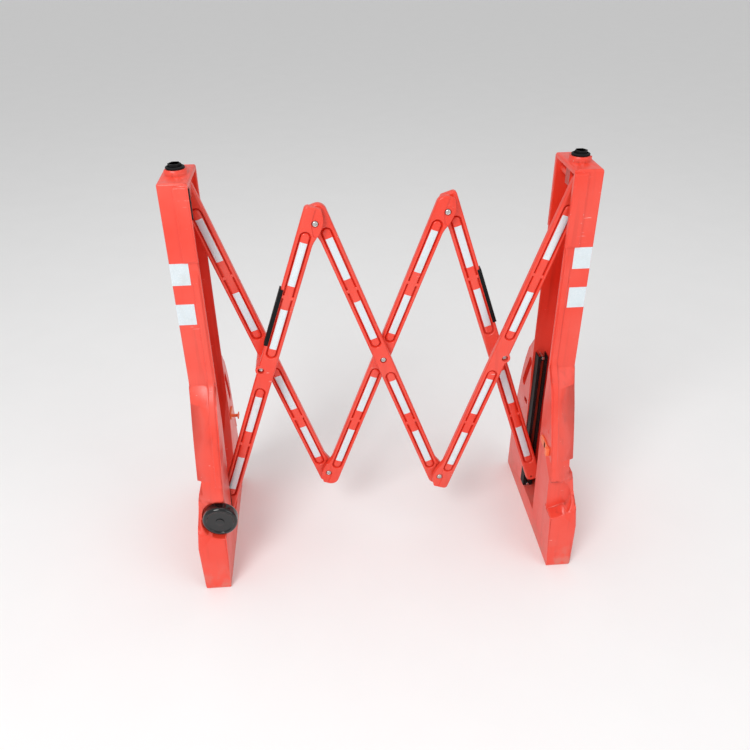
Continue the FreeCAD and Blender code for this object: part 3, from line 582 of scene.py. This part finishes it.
def bridges(settings, y0, y1, centre, is_end):
    """Cross bridges between the two strips of each arm, with a bump over each groove."""
    bm = bmesh.new()
    for sign, start, gap in pocket_spans(settings, is_end):
        middle = sign * (start + settings.strip + gap / 2)
        low = (centre - 0.0128, y0 + 0.0012, middle - 0.0038)
        high = (centre + 0.0128, y1 - 0.0012, middle + 0.0038)
        block(bm, low, high, 0.0012, 3)
        for side in (-1, 1):
            for x in (-0.0106, 0.0106):
                y = face_y(y0, y1, side, 0.0036)
                spot = Matrix.Translation((centre + x, y, middle))
                bmesh.ops.create_uvsphere(bm, u_segments=16, v_segments=10, radius=0.0034, matrix=spot)
    return to_mesh("bridges", bm)


def tip_outline(settings, centre, length, share):
    """Outline of an inner end from its plain side to its ear side, with corner shares."""
    half = settings.width / 2
    ear = centre + settings.end_shift + settings.ear
    tip = length + settings.inner_tip
    return [
        (centre - half, tip, share),
        (centre + half - 0.004, tip, 0.5),
        (ear, length + 0.010, 1.6),
        (ear, length - 0.014, 1.6),
        (centre + half, length - 0.044, 1.0),
    ]


def bar_outline(settings, bar, centre, is_end, outer):
    """Whole outline of a bar."""
    half = settings.width / 2
    length = math.sqrt(bar.inner ** 2 - bar.shift ** 2)
    low = [(x, -z, share) for x, z, share in tip_outline(settings, centre, length, 1.4 if is_end else 3.2)]
    if is_end:
        top = math.sqrt(outer ** 2 - (settings.hub_shift + settings.post_shift) ** 2) + settings.outer_tip
        return low + [(centre + half, top, 2.2), (centre - half, top, 2.2)]
    return low + [(-x, -z, share) for x, z, share in low]


def lane(centre_x, z, sign, y0, y1, depth, side):
    """Recessed lane about an end bolt, open at the tip and on the ear's side."""
    bm = bmesh.new()
    points = ((-0.0085, -0.002), (0.003, -0.026), (0.030, -0.030), (0.030, 0.060), (-0.0085, 0.060))
    y = face_y(y0, y1, side, depth)
    out = face_y(y0, y1, side, -0.004)
    verts = [bm.verts.new((centre_x - sign * dx, y, z + sign * dz)) for dx, dz in points]
    bm.faces.new(verts)
    moved = bmesh.ops.extrude_face_region(bm, geom=list(bm.faces))
    top = [item for item in moved["geom"] if isinstance(item, bmesh.types.BMVert)]
    bmesh.ops.translate(bm, verts=top, vec=(0, out - y, 0))
    bevelled(bm, list(bm.edges), 0.0012, 2)
    return bm


def bar_mesh(settings, bar, is_end, outer):
    """Mesh of a bar in its own frame."""
    centre = settings.hub_shift if is_end else 0.0
    is_front = bar.low_y < -0.03 or (not is_end and bar.low_y < -0.02)
    y0, y1 = bar.low_y, bar.high_y
    if is_end:
        y0, y1 = (bar.low_y, bar.low_y + THICKNESS) if is_front else (bar.high_y - THICKNESS, bar.high_y)
    length = math.sqrt(bar.inner ** 2 - bar.shift ** 2)
    outline = bar_outline(settings, bar, centre, is_end, outer)
    blank = to_mesh("blank", plate(outline, BAR_CORNER, y0, y1, settings.rim_round))
    if is_end:
        bm = bmesh.new()
        start, end = (y0, y1 + BOSS_Y) if is_front else (y0 - BOSS_Y, y1)
        disc_solid(bm, 0, 0, start, end, BOSS_RADIUS, BOSS_RIM)
        blank = boolean(blank, to_mesh("boss", bm), "UNION")
    blank = boolean(blank, pocket_cutters(settings, y0, y1, centre, is_end), "DIFFERENCE")
    pivots = [(bar.shift, -length)] + ([] if is_end else [(-bar.shift, length)])
    for x, z in pivots:
        sign = -1 if z < 0 else 1
        for side in (-1, 1):
            blank = boolean(blank, to_mesh("lane", lane(x, z, sign, y0, y1, LANE_DEPTH, side)), "DIFFERENCE")
    spots = [(0, 0, HUB_SEAT if is_end else END_SEAT)] + [(x, z, END_SEAT) for x, z in pivots]
    holes = bmesh.new()
    for x, z, deep in spots:
        disc_solid(holes, x, z, y0 - 0.03, y1 + 0.03, HOLE_RADIUS, 0, 32)
    blank = boolean(blank, to_mesh("holes", holes), "DIFFERENCE")
    seats = bmesh.new()
    for x, z, deep in spots:
        if is_front or not is_end:
            disc_solid(seats, x, z, y0 - 0.01, y0 + deep, SEAT_RADIUS, SEAT_RIM, 40)
        if not (is_end and is_front and x == 0 and z == 0):
            disc_solid(seats, x, z, y1 - deep, y1 + 0.01, SEAT_RADIUS, SEAT_RIM, 40)
    blank = boolean(blank, to_mesh("seats", seats), "DIFFERENCE")
    whole = joined(blank, bridges(settings, y0, y1, centre, is_end))
    whole.transform(bar.matrix())
    mesh = to_mesh("bar_" + bar.place, whole)
    return mesh, centre, y0


def strip_mesh(settings, bar, is_end, centre, y0):
    """Crowned reflective strips on the islands of a bar's front."""
    bm = bmesh.new()
    for sign, start, gap in pocket_spans(settings, is_end):
        for step in (0, 1):
            near = start + step * (settings.strip + gap)
            middle = sign * (near + settings.strip / 2)
            turn = Matrix.Translation((centre, 0, middle)) @ Matrix.Rotation(math.radians(90), 4, "X")
            scale = Matrix.Diagonal((settings.strip_width, settings.strip, 1, 1))
            made = bmesh.ops.create_grid(bm, x_segments=8, y_segments=1, size=0.5, matrix=turn @ scale)
            for vert in made["verts"]:
                across = abs(vert.co.x - centre) / (settings.strip_width / 2)
                vert.co.y = y0 + 0.00045 + 0.0011 * across ** 3.2
    bmesh.ops.solidify(bm, geom=list(bm.faces), thickness=0.0003)
    bm.transform(bar.matrix())
    return to_mesh("strips_" + bar.place, bm)


def make_bars(scene):
    """All six bars with their strips."""
    settings = scene.barricade_bars
    end = settings.hub_shift + settings.end_shift
    layout = (
        ("back_left", "left_hub", "lower_left_pivot", False, False, end),
        ("front_left", "left_hub", "lower_left_pivot", True, False, end),
        ("back_right", "right_hub", "upper_right_pivot", True, True, end),
        ("front_right", "right_hub", "upper_right_pivot", False, True, end),
        ("front_middle", "middle_hub", "upper_right_pivot", False, False, settings.end_shift),
        ("back_middle", "middle_hub", "upper_right_pivot", False, True, settings.end_shift),
    )
    post = Vector(JOINTS["lattice_fold"]["pos_m"]) - Vector(JOINTS["left_hub"]["pos_m"])
    outer = math.hypot(post.x, post.z)
    for place, hub, pivot, flip_z, flip_x, shift in layout:
        bar = Bar(place, hub, pivot, flip_z, flip_x, shift)
        is_end = "middle" not in place
        mesh, centre, y0 = bar_mesh(settings, bar, is_end, outer)
        body = "bar_" + place
        new_piece("moulded_bar_" + place, mesh, body, "red_plastic", ["bar_" + place], 32)
        strips = strip_mesh(settings, bar, is_end, centre, y0)
        new_piece("sheeting_" + place, strips, body, "white_sheeting", ["strips_" + place], 40)


# ---------------------------------------------------------------- posts
POST_ROUND = 0.0062      # rounding of the outer corners, the largest one
TOP_ROUND = 0.0045       # rounding of the top
FLANGE_ROUND = 0.0026    # rounding of the two edges of a wall
PANEL_BOTTOM = 0.775     # lower edge of the raised panel
POST_HALF_DEPTH = 0.065
LEG_FACE = 0.0655        # anything further out than this belongs to a leg or a panel
FLARE_TOP = 0.490        # the legs start to flare here
FOOT_TOP = 0.158
FLARE_REACH = 0.125
FLARE_POWER = 0.62
EDGE_X = 0.376           # inner edge of a post
RIB_X = 0.3865
RIB_TOP = 0.770
RIB_BOTTOMS = ((-1, 0.262), (1, 0.20))
PANEL_LOW = (0.3775, 0.0600, 0.7806)
PANEL_HIGH = (0.4058, 0.0692, 0.9352)
PANEL_RIM = 0.0036
SLOT_SIZE = (0.012, 0.0034, 0.0095, 1)
LEG_SLOTS = (            # place along Y and Z and tilt in degrees
    (-0.150, 0.150, 10), (-0.118, 0.345, -20), (0.128, 0.120, 8), (0.060, 0.090, 0),
)
SHARP_LEG = (0.150, 0.500)
BELOW_TOP = 0.930        # edges from here to the top's own edges
TOP_EDGES = (0.9405, 0.9441)
RIB = (                  # distance from the rib's middle and rise above the face
    (-0.0075, 0.0), (-0.0068, 0.0034), (-0.0045, 0.0054), (0.0045, 0.0054), (0.0068, 0.0034), (0.0075, 0.0),
)


def leg_reach(z):
    """Reach of a leg's front from the middle at a height."""
    if z >= FLARE_TOP:
        return POST_HALF_DEPTH
    share = max(0.0, (z - FOOT_TOP) / (FLARE_TOP - FOOT_TOP))
    return POST_HALF_DEPTH + FLARE_REACH * (1 - share) ** FLARE_POWER


def post_round(edge):
    """Rounding of one edge of a post. The flared part of the legs stays sharp."""
    middle = (edge.verts[0].co + edge.verts[1].co) / 2
    if len(edge.link_faces) != 2 or edge.calc_face_angle(0) < math.radians(24) or not edge.is_convex:
        return 0.0
    outward = abs(middle.x)
    reach = abs(middle.y) - leg_reach(middle.z)
    if middle.z < 0.002:
        return FLANGE_ROUND if outward > 0.440 or abs(middle.y) > 0.2 else 0.0
    if SHARP_LEG[0] < middle.z < SHARP_LEG[1] and abs(middle.y) > LEG_FACE:
        return 0.0
    below_top = BELOW_TOP < middle.z < TOP_EDGES[0]
    if below_top or abs(middle.y) > LEG_FACE and middle.z > PANEL_BOTTOM:
        return 0.0 if outward < 0.425 else TOP_ROUND
    if TOP_EDGES[0] < middle.z < TOP_EDGES[1]:
        return TOP_ROUND
    if outward > 0.428:
        return POST_ROUND
    if reach > -0.004 and outward > 0.385:
        return FLANGE_ROUND
    if abs(outward - EDGE_X) < 0.003 and middle.z > 0.40 and edge.calc_length() > 0.02:
        return FLANGE_ROUND
    return 0.0


def rib(sign, side, x, low, high):
    """Raised rib down the front or the back of a post."""
    bm = bmesh.new()
    loops = []
    count = 34
    for step in range(count + 1):
        share = step / count
        z = low + (high - low) * share
        taper = min(1.0, share * count / 2.0, (1 - share) * count / 2.0)
        taper = math.sin(math.pi / 2 * taper)
        y = leg_reach(z)
        verts = [bm.verts.new((sign * (x + across), side * (y - 0.002 + (rise + 0.0002) * taper), z))
                 for across, rise in RIB]
        verts.append(bm.verts.new((sign * x, side * (y - 0.0035), z)))
        loops.append(verts)
    for first, second in zip(loops, loops[1:]):
        size = len(first)
        for spot in range(size):
            after = (spot + 1) % size
            bm.faces.new((first[spot], first[after], second[after], second[spot]))
    for loop in (loops[0], loops[-1]):
        bm.faces.new(loop)
    return to_mesh("rib", bm)


def post_panels(sign):
    """Raised panels with soft edges at the top of a post, front and back."""
    made = []
    for side in (-1, 1):
        bm = bmesh.new()
        xs = sorted((sign * PANEL_LOW[0], sign * PANEL_HIGH[0]))
        ys = sorted((side * PANEL_LOW[1], side * PANEL_HIGH[1]))
        block(bm, (xs[0], ys[0], PANEL_LOW[2]), (xs[1], ys[1], PANEL_HIGH[2]), PANEL_RIM, 4)
        made.append(to_mesh("panel", bm))
    return made


def post_slots(sign):
    """Small moulded slots in the legs and the foot."""
    bm = bmesh.new()
    for y, z, tilt in LEG_SLOTS:
        x = 0.381 - 0.009 * z / 0.385
        made = bmesh.ops.create_cube(bm, size=1.0)
        spot = Matrix.Translation((sign * x, y, z)) @ Matrix.Rotation(math.radians(tilt), 4, "X")
        bmesh.ops.transform(bm, verts=made["verts"], matrix=spot @ Matrix.Diagonal(SLOT_SIZE))
    return to_mesh("slots", bm)


def make_posts():
    """Both posts with rounded edges, ribs and slots."""
    for side, sign in SIDES:
        mesh = boolean(to_mesh("post", merged_copy("post_" + side, 0)), post_slots(sign), "DIFFERENCE")
        bm = bmesh.new()
        bm.from_mesh(mesh)
        bpy.data.meshes.remove(mesh)
        bmesh.ops.remove_doubles(bm, verts=bm.verts, dist=2e-5)
        bmesh.ops.dissolve_degenerate(bm, dist=2e-5, edges=bm.edges)
        bmesh.ops.recalc_face_normals(bm, faces=bm.faces)
        bm.normal_update()
        layer = bm.edges.layers.float.new("bevel_weight_edge")
        for edge in bm.edges:
            edge[layer] = post_round(edge) / POST_ROUND
        mesh = modified(to_mesh("post", bm), "BEVEL", width=POST_ROUND, segments=4, limit_method="WEIGHT",
                        use_clamp_overlap=False)
        ribs = [rib(sign, face, RIB_X, bottom, RIB_TOP) for face, bottom in RIB_BOTTOMS]
        mesh = to_mesh("moulded_post_" + side, joined(mesh, *ribs, *post_panels(sign)))
        new_piece("moulded_post_" + side, mesh, "post_" + side, "red_plastic", ["post_" + side], 32)


# ---------------------------------------------------------------- fittings
SLOTS = {part["node"]: part["material_slot"] for part in frame["record"]["subparts"]}
BODIES = {node: body for body, nodes in frame["record"]["behaviour"]["bodies"].items() for node in nodes}
SMALL_PARTS = (
    ("hinge_sleeves_left", 0.0008), ("hinge_sleeves_right", 0.0008),
    ("guide_rail_left", 0.0005), ("guide_rail_right", 0.0005),
    ("hinge_bolt_left", 0.0011), ("hinge_bolt_right", 0.0011), ("rail_screws_left", 0.0007),
    ("rail_screws_right", 0.0007), ("slide_pin_left", 0.0011), ("slide_pin_right", 0.0011),
    ("latch_collar_left", 0.0007), ("latch_collar_right", 0.0007), ("washers_front_left", 0.0004),
    ("washers_front_right", 0.0004), ("washers_front_middle", 0.0004), ("washers_back_middle", 0.0004),
    ("bands_left", 0.00018), ("bands_right", 0.00018), ("wheel_axle", 0.0006),
)


# Profiles: distance along the axis, radius and, where the ring is not round, its number of flats
BOLT_HEAD = (
    (0.0022, 0.0004, 6), (0.0021, 0.0029, 6), (0.0004, 0.0031, 6), (0.0, 0.0035), (0.0001, 0.0042),
    (0.0007, 0.0054), (0.0017, 0.0062), (0.0029, 0.0065), (0.0043, 0.0065), (0.0045, 0.0063),
    (0.0045, 0.0040),
)
CAP_RIM = (
    (0.0, 0.0157), (0.0, 0.0183), (0.0006, 0.0190), (0.0030, 0.0190), (0.0038, 0.0184),
    (0.0042, 0.0168), (0.0052, 0.0155), (0.0052, 0.0146), (0.0052, 0.0138, 6),
)
CAP_HEXAGON = (  # down from the top
    (0.0008, 0.0136, 6), (0.0, 0.0128, 6), (0.0, 0.0098), (0.0008, 0.0090), (0.0035, 0.0086),
    (0.0040, 0.0004),
)


def fitting(node, mesh, angle=32.0):
    """Piece that takes the place of one CAD node."""
    new_piece("detail_" + node, mesh, BODIES[node], SLOTS[node], [node], angle)


def islands(node):
    """Boxes of the separate solids of a CAD node."""
    bm = merged_copy(node)
    seen, boxes = set(), []
    for start in bm.verts:
        if start in seen:
            continue
        seen.add(start)
        heap, found = [start], []
        while heap:
            vert = heap.pop()
            found.append(vert.co.copy())
            for edge in vert.link_edges:
                other = edge.other_vert(vert)
                if other not in seen:
                    seen.add(other)
                    heap.append(other)
        low = Vector([min(co[i] for co in found) for i in range(3)])
        high = Vector([max(co[i] for co in found) for i in range(3)])
        boxes.append((low, high))
    bm.free()
    return sorted(boxes, key=lambda box: tuple(box[0]))


def bolt_mesh(node):
    """Button-head bolts with a hexagon socket, and their chamfered nuts."""
    bm = bmesh.new()
    for low, high in islands(node):
        centre = ((low.x + high.x) / 2, (low.z + high.z) / 2)
        y0, y1 = low.y, high.y
        if y1 - y0 > 0.010:
            profile = [(y0 + along, *rest) for along, *rest in BOLT_HEAD]
            profile += [(y1 - 0.0008, 0.0040), (y1, 0.0033), (y1, 0.0004)]
        else:
            profile = ((y1, 0.0041), (y1, 0.0054), (y1 - 0.0005, 0.0065, 6), (y0 + 0.0005, 0.0065, 6),
                       (y0, 0.0054), (y0, 0.0041))
        turned(bm, centre, 1, profile, 36)
    return to_mesh(node, bm)


def cap_mesh(node):
    """Lamp-socket plug: ribbed rim, domed shoulder and a hollowed hexagon."""
    low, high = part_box(node)
    centre = ((low.x + high.x) / 2, (low.y + high.y) / 2)
    rim = high.z - 0.010
    profile = [(low.z, 0.0004), (low.z, 0.0150), (low.z + 0.0008, 0.0157)]
    profile += [(rim + along, *rest) for along, *rest in CAP_RIM]
    profile += [(high.z - drop, *rest) for drop, *rest in CAP_HEXAGON]
    bm = bmesh.new()
    turned(bm, centre, 2, profile, 72)
    return to_mesh(node, bm)


def wheel_mesh(node):
    """Wheel with a rounded tread, a raised lip, a dished face and a hub boss."""
    low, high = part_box(node)
    centre = ((low.x + high.x) / 2, (low.z + high.z) / 2)
    radius = (high.x - low.x) / 2
    y0, y1 = low.y, high.y
    rows = ((0.0006, 0.0004), (0.0006, 0.0080), (0.0010, 0.0092), (0.0030, 0.0100), (0.0034, 0.0112),
            (0.0032, radius - 0.0120), (0.0026, radius - 0.0104), (0.0010, radius - 0.0090),
            (0.0003, radius - 0.0078), (0.0, radius - 0.0062), (0.0008, radius - 0.0036),
            (0.0026, radius - 0.0015), (0.0052, radius - 0.0003), (0.0074, radius))
    profile = [(y0 + along, reach) for along, reach in rows]
    profile += [(y1 - along, reach) for along, reach in reversed(rows[5:])]
    profile += [(y1 - 0.0004, 0.0100), (y1 - 0.0004, 0.0056), (y1 - 0.0010, 0.00505), (y0 + 0.0062, 0.00505),
                (y0 + 0.0060, 0.0004)]
    bm = bmesh.new()
    turned(bm, centre, 1, profile, 96)
    return to_mesh(node, bm)


def latch_mesh(node):
    """Latch with soft edges; the right one has a strap with a hooked grip that stands inward."""
    mesh = rounded_copy(node, 0.0016, 4)
    if node == "latch_left":
        return mesh
    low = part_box(node)[0]
    bm = bmesh.new()
    block(bm, (low.x, low.y - 0.024, 0.2915), (low.x + 0.0036, low.y + 0.010, 0.3085), 0.0016, 4)
    block(bm, (low.x - 0.0054, low.y - 0.027, 0.290), (low.x + 0.0036, low.y - 0.0150, 0.310), 0.0018, 4)
    return to_mesh(node, joined(mesh, to_mesh("strap", bm)))


def hinge_plate_mesh(node):
    """Hinge plate; the left one is folded over the edge of its wall."""
    mesh = rounded_copy(node, 0.0005)
    if node == "hinge_plate_right":
        return mesh
    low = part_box(node)[0]
    bm = bmesh.new()
    block(bm, (-0.3762, -0.0640, 0.868), (-0.3744, -0.0562, 0.930), 0.0005, 3)
    block(bm, (low.x + 0.001, -0.0585, 0.868), (-0.3746, -0.0570, 0.930), 0.0004, 2)
    return to_mesh(node, joined(mesh, to_mesh("fold", bm)))


def make_fittings():
    """Wheel, caps, bolts, latches, strips, plates, rails and screws."""
    for node in ("bolts_front_left", "bolts_front_right", "bolts_front_middle", "bolts_back_middle"):
        fitting(node, bolt_mesh(node), 30)
    for node in ("cap_left", "cap_right"):
        fitting(node, cap_mesh(node), 30)
    fitting("wheel", wheel_mesh("wheel"), 40)
    for node in ("edge_strip_front_left", "edge_strip_back_right"):
        fitting(node, rounded_copy(node, 0.0009))
    for node in ("hinge_plate_left", "hinge_plate_right"):
        fitting(node, hinge_plate_mesh(node))
    for node in ("latch_left", "latch_right"):
        fitting(node, latch_mesh(node))
    for node, width in SMALL_PARTS:
        fitting(node, rounded_copy(node, width))


# ---------------------------------------------------------------- stage
def make_stage(scene):
    """Pale floor, soft light and the camera."""
    settings = scene.barricade_stage
    scene.view_settings.view_transform = "Standard"
    bm = bmesh.new()
    bmesh.ops.create_grid(bm, x_segments=1, y_segments=1, size=settings.floor / 2)
    floor = bpy.data.objects.new("floor", to_mesh("floor", bm))
    scene.collection.objects.link(floor)
    material = bpy.data.materials.new("floor_paint")
    material.use_nodes = True
    tree = material.node_tree
    shader = tree.nodes["Principled BSDF"]
    shader.inputs["Roughness"].default_value = 0.6
    place = tree.nodes.new("ShaderNodeTexCoord").outputs["Object"]
    tone = mix_colour(tree, noise(tree, place, 6.0, 4.0), (0.90, 0.90, 0.90, 1), (0.93, 0.93, 0.93, 1))
    tree.links.new(tone, shader.inputs["Base Color"])
    floor.data.materials.append(material)
    world = bpy.data.worlds.new("studio")
    world.use_nodes = True
    world.node_tree.nodes["Background"].inputs["Color"].default_value = (1.0, 1.0, 1.0, 1)
    world.node_tree.nodes["Background"].inputs["Strength"].default_value = 0.60
    scene.world = world
    lights = (
        ("key", (-1.6, -2.6, 3.0), 1.8, 72.0),
        ("fill", (2.4, -2.2, 1.8), 2.6, 20.0),
        ("top", (0.0, 0.4, 3.4), 3.0, 14.0),
    )
    for name, place, size, power in lights:
        data = bpy.data.lights.new(name, "AREA")
        data.shape = "DISK"
        data.size = size
        data.energy = power
        lamp = bpy.data.objects.new(name, data)
        scene.collection.objects.link(lamp)
        lamp.location = place
        lamp.rotation_euler = (Vector((0, 0, 0.45)) - Vector(place)).to_track_quat("-Z", "Y").to_euler()
    camera = bpy.data.cameras.new("camera")
    camera.sensor_width = 36.0
    camera.lens = settings.lens
    eye = bpy.data.objects.new("camera", camera)
    scene.collection.objects.link(eye)
    turn = Matrix.Rotation(-settings.pan, 4, "Z") @ Matrix.Rotation(math.radians(90) - settings.tilt, 4, "X")
    place = Matrix.Translation(settings.camera_place)
    eye.matrix_world = place @ turn @ Matrix.Rotation(settings.roll, 4, "Z")
    scene.camera = eye


# ---------------------------------------------------------------- operators
class BARRICADE_OT_finishes(bpy.types.Operator):
    """Make the plastic, steel and sheeting finishes"""

    bl_idname = "barricade.finishes"
    bl_label = "Finishes"

    def execute(self, context):
        make_finishes(context.scene)
        return {"FINISHED"}


class BARRICADE_OT_bars(bpy.types.Operator):
    """Build the six moulded bars and their reflective strips"""

    bl_idname = "barricade.bars"
    bl_label = "Bars"

    def execute(self, context):
        make_bars(context.scene)
        return {"FINISHED"}


class BARRICADE_OT_posts(bpy.types.Operator):
    """Build the two end posts"""

    bl_idname = "barricade.posts"
    bl_label = "Posts"

    def execute(self, context):
        make_posts()
        return {"FINISHED"}


class BARRICADE_OT_fittings(bpy.types.Operator):
    """Build the wheel, caps, bolts, latches and plates"""

    bl_idname = "barricade.fittings"
    bl_label = "Fittings"

    def execute(self, context):
        make_fittings()
        return {"FINISHED"}


class BARRICADE_OT_stage(bpy.types.Operator):
    """Set the floor, the lights and the camera"""

    bl_idname = "barricade.stage"
    bl_label = "Stage"

    def execute(self, context):
        make_stage(context.scene)
        return {"FINISHED"}


class BARRICADE_PT_panel(bpy.types.Panel):
    """Build steps and sizes of the barricade"""

    bl_idname = "BARRICADE_PT_panel"
    bl_label = "Barricade"
    bl_space_type = "VIEW_3D"
    bl_region_type = "UI"
    bl_category = "Barricade"

    def draw(self, context):
        for step in OPERATORS:
            self.layout.operator(step.bl_idname)
        for holder, settings in SETTINGS:
            for name in settings.__annotations__:
                self.layout.prop(getattr(context.scene, holder), name)


SETTINGS = (
    ("barricade_bars", BarSettings),
    ("barricade_finish", FinishSettings),
    ("barricade_stage", StageSettings),
)
OPERATORS = (
    BARRICADE_OT_finishes, BARRICADE_OT_bars, BARRICADE_OT_posts, BARRICADE_OT_fittings, BARRICADE_OT_stage,
)


def register():
    """Register the settings, operators and panel."""
    for name, group in SETTINGS:
        bpy.utils.register_class(group)
        setattr(bpy.types.Scene, name, PointerProperty(type=group))
    for step in OPERATORS:
        bpy.utils.register_class(step)
    bpy.utils.register_class(BARRICADE_PT_panel)


def unregister():
    """Take the classes away again."""
    bpy.utils.unregister_class(BARRICADE_PT_panel)
    for step in reversed(OPERATORS):
        bpy.utils.unregister_class(step)
    for name, group in reversed(SETTINGS):
        delattr(bpy.types.Scene, name)
        bpy.utils.unregister_class(group)


def main():
    """Build everything in order."""
    register()
    bpy.ops.barricade.finishes()
    bpy.ops.barricade.bars()
    bpy.ops.barricade.posts()
    bpy.ops.barricade.fittings()
    bpy.ops.barricade.stage()


if __name__ == "__main__":
    main()
